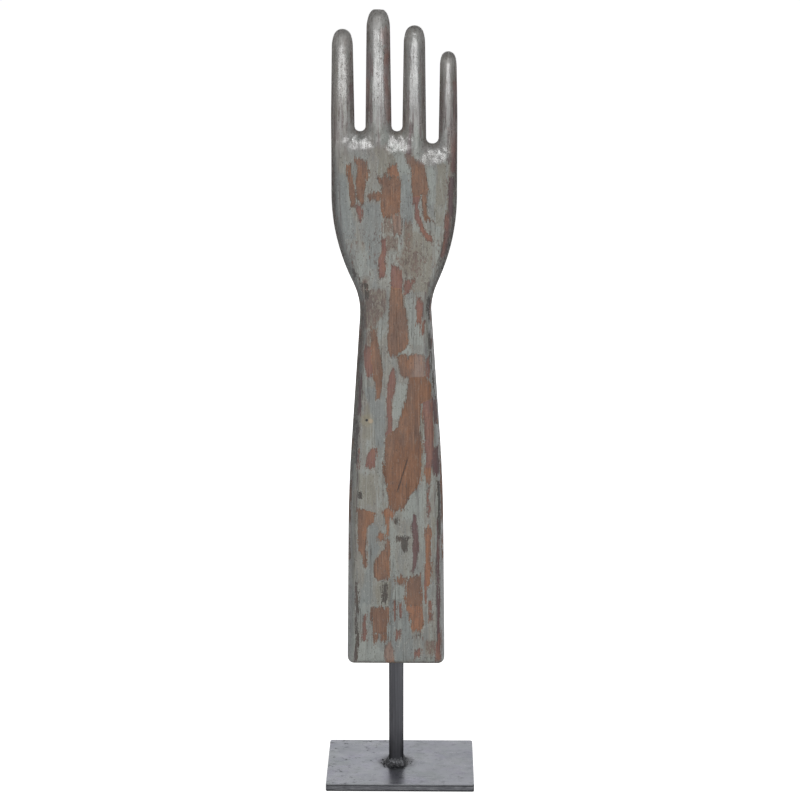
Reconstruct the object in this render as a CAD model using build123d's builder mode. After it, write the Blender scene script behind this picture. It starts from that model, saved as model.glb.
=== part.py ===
"""Carved wooden hand and forearm that lifts off a square bar welded to a steel base plate.

Millimetres, +Z up, +X to the right of the viewer, the middle of the plate's underside on the origin.
"""

import os
from math import atan2, cos, degrees, radians, sin, tan

from build123d import *

os.makedirs("parts", exist_ok=True)

# Base plate
plate_width = 102.0
plate_depth = 76.0
plate_thickness = 5.0
plate_corner_radius = 1.5
plate_edge_break = 0.5

# Square bar that carries the form
post_side = 10.0
post_edge_round = 0.7
post_exposed = 78.7  # bare bar between plate and cuff
post_offset = -3.0  # the bar stands a little left of the plate's middle

# Fillet weld round the foot of the bar
weld_leg = 4.5
weld_belly = 0.6  # share of the leg at the bulge of the bead

# Socket in the underside of the cuff
socket_depth = 60.0
socket_clearance = 0.15  # on each side of the bar

# Form seen from the front, heights measured up from the cuff
cuff_width = 66.6
forearm_width = 63.7
forearm_height = 127.0
forearm_bend = 1040.0
wrist_width = 45.8  # where the straight flanks would meet, before the bend rounds it off
wrist_height = 256.5
wrist_bend = 45.0
flare_length = 39.5  # from the wrist up to where the flare of the palm turns upright
heel_bend = 138.0
web_height = 365.8
little_web_drop = 8.0  # the web beside the little finger sits this much lower

# Fingers, widths at the root and lengths above the web
index_width = 15.2
middle_width = 17.0
ring_width = 15.6
little_width = 12.2
index_length = 66.0
middle_length = 79.0
ring_length = 68.3
little_length = 51.7
index_gap = 7.1
middle_gap = 7.0
ring_gap = 8.0
finger_taper = 0.88  # width at the fingertip as a share of the root
straight_root = 10.0  # the outer sides run upright this far above the webs before they taper
gap_roundness = 0.48  # corner radius at the foot of a gap as a share of its width
tip_roundness = 0.88  # radius of a fingertip as a share of half the finger's width
tip_slope = 15.0  # degrees that the flanks lean in below a fingertip
shoulder_radius = 20.0
taper_bend = 300.0
hand_shift = -1.0  # middle of the palm, left of the bar

# Form seen from the side: one thickness up to the palm, thinned over the knuckles to the fingers
arm_thickness = 30.0
finger_thickness = 15.0
knuckle_drop = 5.0  # the thinning ends this far below the lowest web
knuckle_slope_length = 40.0
palm_bend = 90.0
knuckle_bend = 90.0

# Rounding of the form
edge_round = 5.0
cuff_round = 4.5

# Heights of the stand
plate_top = plate_thickness
cuff_level = plate_top + post_exposed
post_length = post_exposed + socket_depth

# Planes of the form: origin on the bar's axis at the cuff
form_origin = (post_offset, 0, cuff_level)
front_plane = Plane(origin=form_origin, x_dir=(1, 0, 0), z_dir=(0, -1, 0))
side_plane = Plane(origin=form_origin, x_dir=(0, 1, 0), z_dir=(1, 0, 0))

# Finger and gap positions, counted from the outer side of the index finger
finger_widths = [index_width, middle_width, ring_width, little_width]
finger_lengths = [index_length, middle_length, ring_length, little_length]
gap_widths = [index_gap, middle_gap, ring_gap]
gap_heights = [web_height, web_height, web_height - little_web_drop]
palm_width = sum(finger_widths) + sum(gap_widths)
palm_left = hand_shift - palm_width / 2
palm_right = hand_shift + palm_width / 2

cuff_straight = 3 * cuff_round
heel_height = wrist_height + flare_length
finger_root = web_height + straight_root
finger_lefts = [palm_left]
for width, gap in zip(finger_widths, gap_widths):
    finger_lefts.append(finger_lefts[-1] + width + gap)


def finger_corners(centre, root_half, tip):
    """Outline corners of one fingertip, each with its radius."""
    lean = radians(tip_slope)
    half = finger_taper * root_half
    crown = tip_roundness * half
    drop = (half * cos(lean) - crown * (1 - sin(lean))) / sin(lean)
    flank = (drop - crown * (1 - sin(lean))) / cos(lean)
    shoulder = min(shoulder_radius, 0.9 * flank / tan(lean / 2))
    apex = tip + crown / sin(lean) - crown
    return [
        (centre - half, tip - drop, shoulder),
        (centre, apex, crown),
        (centre + half, tip - drop, shoulder),
    ]


def fitted_bends(points, bends):
    """Bend radii at the inner points, scaled down only where the run between two bends is too short for them."""
    runs = [Vector(*end) - Vector(*start) for start, end in zip(points, points[1:])]
    turns = [radians(run_in.get_angle(run_out)) for run_in, run_out in zip(runs, runs[1:])]
    needs = [cuff_round, *[bend * tan(turn / 2) for bend, turn in zip(bends, turns)], 0]
    free = [0.98 * run.length for run in runs]
    rooms = [room / max(room, first + last) for room, first, last in zip(free, needs, needs[1:])]
    return [bend * min(below, above) for bend, below, above in zip(bends, rooms, rooms[1:])]


def flank_corners(side, palm_edge):
    """Outline corners of one flank from cuff to finger root, each with its radius."""
    points = [
        (side * cuff_width / 2, 0),
        (side * cuff_width / 2, cuff_straight),
        (side * forearm_width / 2, forearm_height),
        (side * wrist_width / 2, wrist_height),
        (palm_edge, heel_height),
        (palm_edge, finger_root),
    ]
    bends = fitted_bends(points, [forearm_bend, forearm_bend, wrist_bend, heel_bend])
    radii = [0, *bends, taper_bend]
    return [(across, height, radius) for (across, height), radius in zip(points, radii)]


# Corner points of the front outline and the radius at each, from the left of the cuff round to the right
corners = flank_corners(-1, palm_left)
for number, (left, width, length) in enumerate(zip(finger_lefts, finger_widths, finger_lengths)):
    if number > 0:
        corners.append((left, gap_heights[number - 1], gap_roundness * gap_widths[number - 1]))
    corners += finger_corners(left + width / 2, width / 2, web_height + length)
    if number < len(gap_widths):
        corners.append((left + width, gap_heights[number], gap_roundness * gap_widths[number]))
corners += reversed(flank_corners(1, palm_right))

form_height = web_height + max(finger_lengths)
knuckle_level = min(gap_heights) - knuckle_drop
profile_top = form_height + max(finger_widths) / 2
narrowest_tip = tip_roundness * finger_taper * min(finger_widths) / 2
outline_round = min(edge_round, 0.98 * narrowest_tip, 0.4 * finger_thickness)

with BuildPart() as base_plate:
    with BuildSketch():
        RectangleRounded(plate_width, plate_depth, plate_corner_radius)
    extrude(amount=plate_thickness)
    chamfer(base_plate.faces().sort_by(Axis.Z)[-1].edges(), plate_edge_break)
base_plate.part.label = "base_plate"
export_step(base_plate.part, "parts/base_plate.step")

with BuildPart() as post:
    with BuildSketch(Plane((post_offset, 0, plate_top))):
        RectangleRounded(post_side, post_side, post_edge_round)
    extrude(amount=post_length)
    chamfer(post.faces().sort_by(Axis.Z)[-1].edges(), post_edge_round)
post.part.label = "post"
export_step(post.part, "parts/post.step")

# Weld bead: a steep toe below and a flatter shoulder above, wrapped round the bar
belly_height = weld_belly * weld_leg
belly_out = (1 - weld_belly / 2) * weld_leg
shoulder_height = weld_leg - belly_height
bead_edge = post_edge_round / 2
with BuildPart() as weld_bead:
    with BuildSketch(Plane((post_offset, 0, plate_top))):
        RectangleRounded(post_side + 2 * weld_leg, post_side + 2 * weld_leg, weld_leg)
    extrude(amount=belly_height, taper=degrees(atan2(weld_leg - belly_out, belly_height)))
    with BuildSketch(Plane((post_offset, 0, plate_top + belly_height))):
        RectangleRounded(post_side + 2 * belly_out, post_side + 2 * belly_out, belly_out)
    extrude(amount=shoulder_height, taper=degrees(atan2(belly_out - bead_edge, shoulder_height)))
    add(post.part, mode=Mode.SUBTRACT)
weld_bead.part.label = "weld_bead"
export_step(weld_bead.part, "parts/weld_bead.step")

with BuildPart() as hand_form:
    with BuildSketch(front_plane):
        with BuildLine():
            FilletPolyline(
                *[(across, height) for across, height, _ in corners],
                radius=[radius for _, _, radius in corners],
                close=True,
            )
        make_face()
    extrude(amount=arm_thickness, both=True)
    with BuildSketch(side_plane):
        with BuildLine():
            front_curve = FilletPolyline(
                (-arm_thickness / 2, 0),
                (-arm_thickness / 2, knuckle_level - knuckle_slope_length),
                (-finger_thickness / 2, knuckle_level),
                (-finger_thickness / 2, profile_top),
                radius=[palm_bend, knuckle_bend],
            )
            mirror(front_curve, about=Plane.YZ)
            Line((-arm_thickness / 2, 0), (arm_thickness / 2, 0))
            Line((-finger_thickness / 2, profile_top), (finger_thickness / 2, profile_top))
        make_face()
    extrude(amount=palm_width, both=True, mode=Mode.INTERSECT)
    carved_faces = hand_form.faces().filter_by(lambda face: abs(face.normal_at().Y) > 0.7)
    outline_edges = carved_faces.edges().filter_by(lambda edge: edge.center().Z > cuff_level + cuff_round)
    outline_edges = outline_edges.filter_by(Axis.X, reverse=True)
    fillet(outline_edges, outline_round)
    fillet(hand_form.faces().sort_by(Axis.Z)[0].edges(), cuff_round)
    with BuildSketch(Plane((post_offset, 0, cuff_level))):
        RectangleRounded(
            post_side + 2 * socket_clearance,
            post_side + 2 * socket_clearance,
            post_edge_round + socket_clearance,
        )
    extrude(amount=socket_depth, mode=Mode.SUBTRACT)
hand_form.part.label = "hand_form"
export_step(hand_form.part, "parts/hand_form.step")
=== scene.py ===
import math

import bmesh
import bpy
import numpy as np
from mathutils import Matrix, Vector, kdtree, noise
from mathutils.bvhtree import BVHTree


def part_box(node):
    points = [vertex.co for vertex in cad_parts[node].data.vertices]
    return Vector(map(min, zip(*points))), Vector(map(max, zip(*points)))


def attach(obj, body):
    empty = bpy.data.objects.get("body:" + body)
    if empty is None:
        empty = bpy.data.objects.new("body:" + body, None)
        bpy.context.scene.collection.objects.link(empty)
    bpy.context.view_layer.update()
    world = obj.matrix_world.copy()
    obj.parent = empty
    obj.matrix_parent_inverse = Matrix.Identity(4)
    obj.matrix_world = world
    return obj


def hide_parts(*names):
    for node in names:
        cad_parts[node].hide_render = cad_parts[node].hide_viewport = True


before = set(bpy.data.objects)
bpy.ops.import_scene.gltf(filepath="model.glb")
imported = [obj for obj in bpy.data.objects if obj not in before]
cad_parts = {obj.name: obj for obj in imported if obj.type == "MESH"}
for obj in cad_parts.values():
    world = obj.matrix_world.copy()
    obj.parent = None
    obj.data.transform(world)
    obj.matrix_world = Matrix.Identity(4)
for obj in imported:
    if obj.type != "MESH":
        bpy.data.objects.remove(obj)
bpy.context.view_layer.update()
scene = bpy.context.scene
MM = 0.001


def in_mm(box):
    """The low and high corner of a box, in mm."""
    return [np.array(corner) / MM for corner in box]


# Places on the solids, in mm: bar, plate, form, finger gaps and tips, and how far each tip lacks polish
POST_LOW, POST_HIGH = in_mm(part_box("post"))
POST_X = (POST_LOW[0] + POST_HIGH[0]) / 2
POST_HALF = POST_HIGH[1]
PLATE_TOP = in_mm(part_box("base_plate"))[1][2]
FORM_LOW, FORM_HIGH = in_mm(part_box("hand_form"))
CUFF = FORM_LOW[2]
ARM_HALF = FORM_HIGH[1]
FINGER_HALF = 7.5
SLOPE_FOOT = 396.5
SLOPE_TOP = 436.5
GAPS = [(-26.3, 449.5), (-2.2, 449.5), (20.8, 441.5)]
TIPS = [(-37.5, 515.8), (-14.4, 528.5), (9.0, 518.3), (30.9, 501.2)]
MIDDLE_TIP = TIPS[1]
MATT_LENGTHS = (15, 17, 6, 7)
FINGER_REACH = 9.5

# Marks on the front of the forearm, in mm: a nail hole, the chip beside it, and a split as across and up
NAIL = (-22.4, -13.5, 258.0)
CHIP = (-19.8, -13.8, 257.6)
SPLIT_FOOT = (-2.51, 206.5)
SPLIT_HEAD = (6.06, 235.0)

# Bare wood and other coats of paint: place on the colour ramp, and colour
TONES = {
    "pink": (0.1, (134, 114, 104)),
    "wood": (0.25, (116, 87, 70)),
    "umber": (0.35, (116, 80, 57)),
    "orange": (0.5, (139, 98, 74)),
    "red": (0.7, (121, 86, 78)),
    "purple": (0.85, (92, 70, 71)),
    "dark": (1.0, (66, 64, 60)),
}
SHADES = {
    "pale": (0.2, (138, 143, 138)),
    "khaki": (0.5, (121, 117, 105)),
    "blue": (0.8, (115, 120, 119)),
}

# Patches on the front, read off the photograph and turned into mm: name, then height, left and right
FRONT_WEAR = [
    ("wood", [
        (429.9, -35.4, -32.1), (424.8, -35.1, -32), (419.7, -34.4, -30.5), (413.4, -33.4, -29.2),
        (406.9, -32.5, -28.9), (401.9, -32.2, -29.3),
    ]),
    ("wood", [
        (432.7, -28.9, -22.8), (429.2, -28.9, -21.6), (425.4, -28.6, -20.6), (421, -29.2, -20.8),
        (417.2, -29.6, -21.9), (410.2, -27.9, -22.7), (404.3, -26.8, -23.5),
    ]),
    ("red", [(403.6, -28.9, -26.7), (400.3, -28.6, -24.7), (396.3, -27.7, -24.4), (393, -27, -25.1)]),
    ("wood", [(411.5, -20.8, -13), (408.9, -22.1, -12.3), (406.2, -19.5, -12.4)]),
    ("orange", [(428.6, -7.2, -2.3), (426.1, -8, -1.7), (421.1, -7.8, -0.3)]),
    ("wood", [
        (421.4, -16.3, 0), (419.1, -14.9, 0.2), (415.1, -13, 0.4), (406.9, -13, 0), (401.7, -12.4, 0),
        (396.4, -11.7, 0),
    ]),
    ("pink", [(397.7, -5.2, 0.3), (392.4, -4.6, 0.6), (383.8, -3.9, 1)]),
    ("faded", [(397, -11.7, -4.6), (383.8, -11.4, -3.9)]),
    ("wood", [(435.2, 3.2, 9.3), (431.8, 4.2, 10.3), (427.4, 5.8, 12.9)]),
    ("wood", [
        (431.2, 5.1, 12.9), (428.6, 6.4, 16.2), (420.5, 6.9, 17.8), (412.9, 7.3, 18.2), (408.9, 8, 17.5),
    ]),
    ("red", [
        (409.6, 8, 13.3), (403, 8.6, 12.2), (397.1, 9.8, 12.2), (391.2, 11.7, 14.3), (385.5, 14.2, 17),
        (382.2, 16.3, 20.9), (378.9, 18.3, 20.2),
    ]),
    ("wood", [
        (409.6, 13, 17.5), (403, 14, 16.9), (398.4, 14.5, 17.6), (395.8, 15, 18.9), (392.8, 15.6, 21.4),
    ]),
    ("faded", [(393.1, 2.6, 7.8), (381.9, 1.3, 9.1), (369.9, 2.6, 7.8)]),
    ("faded", [(383.2, -12.4, 0), (372.5, -11.8, -1.3)]),
    ("red", [
        (380.5, -12.1, -9.8), (373.9, -11.8, -8.8), (367.2, -13.9, -9.8), (360.5, -14.1, -9.8),
        (355.5, -13.4, -10.2),
    ]),
    ("red", [
        (363.9, -5.6, -2.6), (361.9, -5.9, -0.3), (358, -6.2, 1.6), (353.9, -5.9, 2), (345.8, -5.6, 2),
    ]),
    ("red", [(353.5, 3.9, 9.4), (349.9, 3, 7.5), (345.5, 3, 5.6)]),
    ("faded", [
        (454.8, 30.3, 36), (432.5, 30.7, 36.9), (407, 30.5, 36.1), (385.9, 28.4, 34.2), (366, 25.5, 30.1),
    ]),
    ("red", [(455, 33.6, 36.4), (438, 33.2, 36.6), (424, 33.4, 36.2)]),
    ("purple", [(421, 32.2, 35.6), (404, 31.6, 34.8), (396, 31.6, 33.6)]),
    ("red", [(398, 30, 32.6), (384, 28.8, 32), (370, 27.2, 29.4)]),
    ("wood", [
        (350.5, -5.3, 0.9), (344.7, -6.6, 1.9), (340.9, -7, 1.9), (336.1, -7.2, 2.8), (331.3, -7.5, 4.7),
        (321.6, -8, 5.2), (311.9, -8, 5.5), (308, -8, 4.3), (305.1, -7.9, 0), (302.2, -7.7, -2.8),
    ]),
    ("wood", [(302.6, -1.9, 6.2), (296.4, -1.2, 7.4), (290.5, 0, 7.4), (286.4, 1.9, 7)]),
    ("pink", [(303, 5.4, 14.8), (295.7, 5.4, 17), (285.6, 6.4, 17)]),
    ("wood", [
        (321, -18.8, -15.6), (313.8, -19.4, -15), (306.5, -19.8, -13.2), (299.7, -19.6, -12.4),
        (292.9, -19.2, -12.1), (283.3, -17.6, -12.4), (273, -16, -13.6),
    ]),
    ("red", [
        (309.3, -23.4, -18.4), (303.8, -24.2, -17.8), (298.3, -24.4, -17.6), (292.9, -23.8, -17.4),
        (287, -23.4, -18.3),
    ]),
    ("faded", [(321.5, -21.8, -13.9), (309.9, -23.8, -17.2), (305.2, -25.2, -21.2)]),
    ("faded", [(348.4, -24.3, -8.5), (333.6, -25, -8.6), (318.8, -25.1, -18.5)]),
    ("red", [
        (293.4, -4.7, -3.3), (288.5, -7.1, -3.3), (282.6, -8.6, -3.8), (272.8, -9.1, -4.7),
        (262.9, -8.6, -5.7), (253, -8.6, -5.3), (248.1, -9.6, -3.8),
    ]),
    ("umber", [
        (290.5, 6.6, 16.4), (286, 5.6, 18.6), (282.7, 5.2, 20.9), (272.8, 3.8, 21.4), (269.6, 3, 13.6),
        (263, 0.9, 13.5), (253, -1.9, 13.5), (249.5, -6.7, 13.6), (248.1, -9, 13.6), (243.1, -10.5, 13.6),
        (233.2, -11, 13.9), (223.2, -11, 13.4), (217.6, -10.6, 13.9), (213.6, -9.6, 13.4),
        (209.6, -10.1, 10.6), (204.6, -7.7, 5.8), (199.5, -7.2, 3.8), (195.5, -6.7, 2),
    ]),
    ("red", [
        (273.1, 15, 21.6), (263, 15.7, 22.4), (253.1, 16.2, 22.9), (243.2, 16.2, 21), (233.3, 17.2, 22),
        (224.2, 16.3, 21.1),
    ]),
    ("orange", [(225.2, 16.3, 21.1), (217.7, 16.3, 21.1), (213.2, 17.3, 20.6)]),
    ("red", [(342.9, 11.2, 13.1), (338.1, 10.3, 14.9), (331.3, 10.5, 14.6), (324.6, 11.3, 14.1)]),
    ("red", [(326.5, 13.5, 16.5), (320.9, 13.9, 16.5), (315.9, 14.2, 16.2)]),
    ("red", [(301.9, 16.2, 19.2), (294.4, 15.9, 19.4), (287.5, 16.3, 19.2)]),
    ("red", [(239.1, -17.7, -15.3), (235.1, -21.5, -15.3), (230.1, -22.1, -15.8), (225.1, -22.1, -17.7)]),
    ("red", [(238.3, -28.5, -26.8), (223.6, -28.9, -26.9)]),
    ("orange", [(196.2, -11.5, -6.7), (193.3, -12.1, -4.3), (189.4, -10.8, -5.4)]),
    ("orange", [(190.5, -10.1, -6.8), (184.1, -10.1, -7.2), (177.2, -10.2, -7.2)]),
    ("orange", [(178.8, -15.2, -9.5), (176.3, -16.1, -9.5), (173.4, -15.6, -9.7)]),
    ("wood", [
        (174.2, -9.8, -6.8), (167, -10.5, -6.6), (164.9, -13.1, -6.6), (160.8, -17, -6.8),
        (152.7, -18.4, -6.8), (147.6, -18, -7.3), (145.5, -15.6, -8.2),
    ]),
    ("wood", [
        (196.1, -28.9, -26), (193.3, -29, -16.5), (187.3, -29, -17.8), (183.3, -28.5, -22.2),
        (175.1, -28.5, -22.7), (166.9, -28.5, -23.3), (162.9, -26.2, -22.8), (154.7, -24.7, -22.8),
    ]),
    ("purple", [
        (190.5, 9.2, 10.1), (183.4, 7.7, 12.1), (175.2, 8.2, 12.1), (167.1, 8.7, 12.4), (161, 8.7, 11.6),
        (153.8, 7.7, 10.7), (150.7, 5.8, 8.8),
    ]),
    ("dark", [(176.3, -2.4, 6.8), (173.8, -1.7, 6.1)]),
    ("dark", [(174.9, 0.9, 5.3), (169.9, 1.2, 5.3), (166.4, 2, 4.4)]),
    ("dark", [(188.8, -3.7, -0.9), (185.6, -4.1, -1.4)]),
    ("dark", [(143.8, -12.4, -9.2), (138.3, -12.9, -8.8), (133.2, -12.7, -8.8), (128.4, -12.4, -9.8)]),
    ("wood", [(148.1, -2.7, 5.4), (145.5, -3.4, 5.4), (142.3, -3.1, 4.1)]),
    ("wood", [
        (148.7, 5.8, 13.6), (142.5, 3.4, 14.1), (136.3, 3.9, 14.1), (132.1, 2.9, 14.6), (126, 4.4, 14.6),
    ]),
    ("orange", [
        (127.5, 4.1, 14.6), (121.8, 5.9, 15.1), (115.6, 7.3, 15.1), (110.4, 7.8, 15.1),
        (107.6, 8.9, 13.7),
    ]),
    ("wood", [(125.6, -19.5, -7.3), (121.7, -20, -7.8), (111.4, -19.6, -8.8), (106.1, -19.1, -8.8)]),
    ("wood", [(107.1, -19.1, -14.4), (100.9, -18.6, -15.7), (98.3, -18.2, -16.5)]),
    ("wood", [(107.1, -13, -8.8), (101, -12.8, -8.8)]),
    ("pink", [(100.5, -8.8, -5.9), (94.7, -10.8, -4.4), (89.5, -10.8, -3.9), (83.7, -9.8, -3.4)]),
    ("red", [(130.4, -4.6, -2.8), (122.4, -4.4, -2.6), (116.6, -4.1, -2.9)]),
    ("red", [(128.9, -1.4, 0.5), (122.4, -1.2, 1.2), (118.1, -0.8, 0.7)]),
    ("red", [(108.8, -3.4, 0), (102, -3.2, -0.2)]),
    ("red", [(119.6, -25.3, -23), (111.4, -26.3, -23.3), (100.9, -26.1, -23.7)]),
    ("red", [(95.1, 10.6, 14.1), (92.2, 9.8, 14.7), (89.3, 10.6, 14.1)]),
    ("red", [(211.8, 17.7, 20.2), (202.7, 17.9, 19.9), (189.9, 18.2, 20.2)]),
    ("orange", [
        (184.3, 18.2, 20.6), (180.7, 16.9, 21.2), (170.7, 17.1, 21.1), (160, 16.8, 21),
        (149.2, 16.7, 20.9), (140.6, 17, 20.4),
    ]),
    ("dark", [(214, 25.1, 27.1), (195.6, 25.1, 27.3), (176.5, 25, 27.5)]),
    ("purple", [(188.5, 24.6, 26.4), (160, 24.6, 26.6), (131.2, 24.8, 26.8), (104.2, 25.2, 27)]),
    ("red", [(106.7, 25.2, 27.6), (96.2, 24.6, 28.2), (86.1, 24, 28)]),
    ("dark", [(361.1, -32.4, -29.8), (357.8, -31.5, -27.9), (354.5, -30.2, -26.6)]),
    ("dark", [(353.1, -27.6, -24.3), (350.4, -26.9, -21), (347.8, -25.6, -20.4)]),
    ("dark", [(347.1, -23.7, -19.1), (343.7, -24.3, -20), (340.4, -23.7, -21)]),
    ("dark", [(207.4, -28.9, -26.3), (203.2, -28.3, -25.6)]),
    ("dark", [(106.5, 11, 14.4), (104.3, 8.9, 13.7)]),
    ("red", [(131.2, 19.1, 21.1), (122.5, 19.1, 21.2), (115.3, 19.8, 21.9)]),
    ("red", [(149.2, 16.6, 18), (138.4, 17, 18.4), (128.3, 17.4, 18.4)]),
    ("dark", [(145.4, -30.5, -28.8), (131, -30.7, -28.9), (109.2, -30.8, -29.2), (86.5, -31.1, -29.5)]),
    ("red", [(505, -11, -7.6), (490.2, -11.4, -7.4), (474.1, -10.6, -6.8), (456.7, -9.6, -6)]),
    ("red", [(492, -22.8, -19.9), (477.3, -22.9, -20), (464.7, -22.9, -20.4)]),
    ("faded", [(496.6, 12.8, 15.3), (470.9, 12.8, 15.4), (452.8, 13.5, 16.1)]),
    ("red", [(483.9, 34, 36.8), (464.5, 34, 36.9), (452.3, 33.6, 36.9)]),
    ("faded", [(102.1, 16.4, 25.3), (91.1, 16.5, 24.7)]),
    ("red", [(517, -12.6, -8.2), (511.7, -13.2, -6.6), (505.4, -12.2, -6.8)]),
    ("purple", [(502, -22.8, -18.8), (492.5, -23, -18), (483, -22.8, -18.8)]),
    ("purple", [(455.5, 6.2, 7.7), (449, 5, 7.4), (441.2, 4.2, 7), (435.6, 4.1, 6.2)]),
    ("purple", [(480.2, -32.7, -30.5), (474.4, -33.4, -30.2), (468.6, -32.8, -29.9)]),
    ("dark", [(341.6, 18.1, 19.7), (324.7, 18.5, 20.1), (307, 19.5, 21.2)]),
    ("dark", [(304.3, 20.2, 21.7), (287.9, 21.1, 22.7), (272.7, 22.1, 23.6)]),
    ("purple", [(272, 21.3, 23.7), (263.7, 21.7, 24.4), (254.7, 22.4, 24.8)]),
    ("red", [(251.9, 19, 22), (240.8, 19.4, 22.4), (230.3, 20.1, 22.5)]),
    ("purple", [(239.4, 21.7, 25.4), (232.4, 21.1, 26.1), (225.4, 21.5, 26.3), (219.8, 22.8, 25.9)]),
    ("purple", [
        (290.5, -26.9, -25.6), (280.8, -27.5, -25.2), (271.2, -28.1, -25.6), (261.5, -28.4, -26.7),
    ]),
    ("dark", [(257.3, -29.2, -27.4), (243.4, -29.8, -28), (228, -30.3, -28.4)]),
    ("faded", [(339.5, -27.4, -23.8), (319.2, -27.9, -23.9), (297.3, -28.3, -24.3)]),
    ("khaki", [(220.6, -27.8, -17.5), (209.5, -27.9, -16.8), (198.4, -27.6, -17.2)]),
    ("khaki", [(269.5, -24, -20.6), (257.7, -25, -18.7), (244.5, -26.1, -18.7)]),
    ("khaki", [(144.8, -15.7, -6.1), (136.8, -17, -6.1), (126.7, -16.4, -8.2)]),
    ("khaki", [(429.3, 24, 29.8), (407, 22.7, 29.9), (389.9, 22.2, 28)]),
    ("khaki", [(385.8, 2.6, 19.6), (365.9, 1.3, 20.9), (345.8, 2.6, 18.4)]),
    ("khaki", [(166.2, -27.8, -24.7), (159.8, -27.5, -24.8)]),
    ("khaki", [(269.6, 13.7, 15.4), (244.7, 13.9, 16), (216, 14, 16.1)]),
    ("khaki", [(190.7, 21.5, 23.7), (167.2, 21.4, 23.7), (144.2, 21.2, 23.7)]),
    ("khaki", [(439.9, -18.3, -9.2), (432.4, -14.3, -1.4), (422.3, -15, -8.5)]),
    ("pale", [(307.3, -0.3, 7.6), (303.9, 1.3, 7.3)]),
    ("pale", [(282.7, -3, 5), (272.3, -4, 2.7), (258.5, -5.3, 0)]),
    ("pale", [(340.5, 2.6, 9.9), (327, 5.6, 11.2), (310, 5.9, 15.2)]),
    ("pale", [(141.2, -4.1, 2.7), (131.1, -5.5, 2.7)]),
    ("pale", [(101.9, -29.5, -19.9), (93.1, -29.5, -11.7), (85.8, -28.9, -11)]),
    ("pale", [(208.3, 6.1, 16.1), (196.9, 2.7, 16.2), (188.4, 1.3, 8.1)]),
    ("pale", [(454.2, 9.6, 10.9), (449, 8.7, 12.5), (443.8, 8, 13.8), (437.3, 8.3, 14.2), (432, 9, 12.3)]),
    ("pale", [(456.5, -14.2, -11.6), (450.2, -13.6, -8.6), (446.3, -13, -6.8), (441.4, -12.4, -6.8)]),
    ("pale", [(443.1, -6.6, -1.4), (434.9, -5.3, 2.5), (424.8, 0.3, 5.8)]),
    ("pale", [(426.1, 18.1, 22), (413.6, 18.8, 23.4), (403.7, 18.2, 22.7)]),
    ("blue", [(404.9, -24.1, -13.7), (393.7, -24.8, -12.4), (379.1, -23.5, -12.4), (361.8, -21.6, -14.4)]),
    ("blue", [(422.2, -40.9, -35.1), (403.6, -39.7, -33.2), (380.4, -36.6, -28.1)]),
    ("blue", [(422.3, 0.6, 6.5), (407, 0.6, 7.1), (390.5, 0.6, 9.1)]),
    ("blue", [(281.9, -24.6, -18.6), (273.6, -22.6, -10.6), (258.5, -18, -9.3), (240.4, -16.1, -10.7)]),
    ("blue", [(185.5, -20.9, -16.2), (168.4, -21.7, -14.2), (159.8, -21.7, -17), (127.4, -28.7, -19.8)]),
    ("blue", [(123.9, 1.4, 6.8), (102, 0.7, 8.2), (87.4, -2.1, 9.6)]),
]

# Strips strewn over the back and the sides: count, middles across, tops, widths, lengths and names
WORN = ["wood", "wood", "wood", "orange", "red", "red", "faded", "pink"]
COATS = ["khaki", "pale", "blue"]
BACK_STRIPS = [
    (24, (-30, 24), (130, 330), (5, 16), (22, 80), WORN),
    (12, (-34, 26), (330, 432), (5, 14), (16, 48), WORN),
    (18, (-30, 26), (100, 300), (2, 5), (20, 70), WORN),
    (26, (-34, 30), (110, 440), (6, 18), (20, 60), COATS),
]
SIDE_STRIPS = [
    (12, (-9, 9), (140, 440), (3, 8), (30, 90), WORN),
    (8, (-9, 9), (110, 440), (4, 10), (30, 90), COATS),
]


def smoothstep(low, high, value):
    share = np.clip((value - low) / (high - low), 0.0, 1.0)
    return share * share * (3.0 - 2.0 * share)


def bell(value, middle, width):
    return np.exp(-((value - middle) / width) ** 2)


def linked(name, data):
    piece = bpy.data.objects.new(name, data)
    scene.collection.objects.link(piece)
    return piece


def smooth(mesh):
    for polygon in mesh.polygons:
        polygon.use_smooth = True


def coordinates(mesh):
    values = np.empty(len(mesh.vertices) * 3)
    mesh.vertices.foreach_get("co", values)
    return values.reshape(-1, 3) / MM


def store(mesh, name, values):
    layer = mesh.attributes.new(name, "FLOAT", "POINT")
    layer.data.foreach_set("value", np.asarray(values, np.float32))


def grain_noise(places, sizes, depth=3):
    """Smooth noise at each place, about -1 to 1, with a size per axis in mm."""
    scaled = places / np.asarray(sizes, float)
    return np.array([noise.fractal(Vector(place), 1.0, 2.0, depth) for place in scaled])


def dense_copy(node, name, voxel):
    """A fine even mesh that lies on a node's surface."""
    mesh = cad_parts[node].data.copy()
    work = bmesh.new()
    work.from_mesh(mesh)
    bmesh.ops.remove_doubles(work, verts=work.verts, dist=1e-6)
    work.to_mesh(mesh)
    tree = BVHTree.FromBMesh(work)
    work.free()
    piece = linked(name, mesh)
    remesh = piece.modifiers.new("Dense", "REMESH")
    remesh.mode = "VOXEL"
    remesh.voxel_size = voxel * MM
    dense = bpy.data.meshes.new_from_object(piece.evaluated_get(bpy.context.evaluated_depsgraph_get()))
    piece.modifiers.clear()
    piece.data = dense
    dense.name = name
    for vertex in dense.vertices:
        vertex.co = tree.find_nearest(vertex.co)[0]
    dense.update()
    return piece


def rim_distance(places, rim):
    """How far each place lies from the outline seen from the front, and the direction away from it."""
    tree = kdtree.KDTree(len(rim))
    for number, place in enumerate(rim):
        tree.insert((place[0], 0, place[2]), number)
    tree.balance()
    nearest = [tree.find((place[0], 0, place[2])) for place in places]
    distance = np.array([found[2] for found in nearest])
    away = (places - np.array([found[0] for found in nearest]))[:, [0, 2]]
    return distance, away / np.maximum(distance, 1e-6)[:, None]


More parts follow.
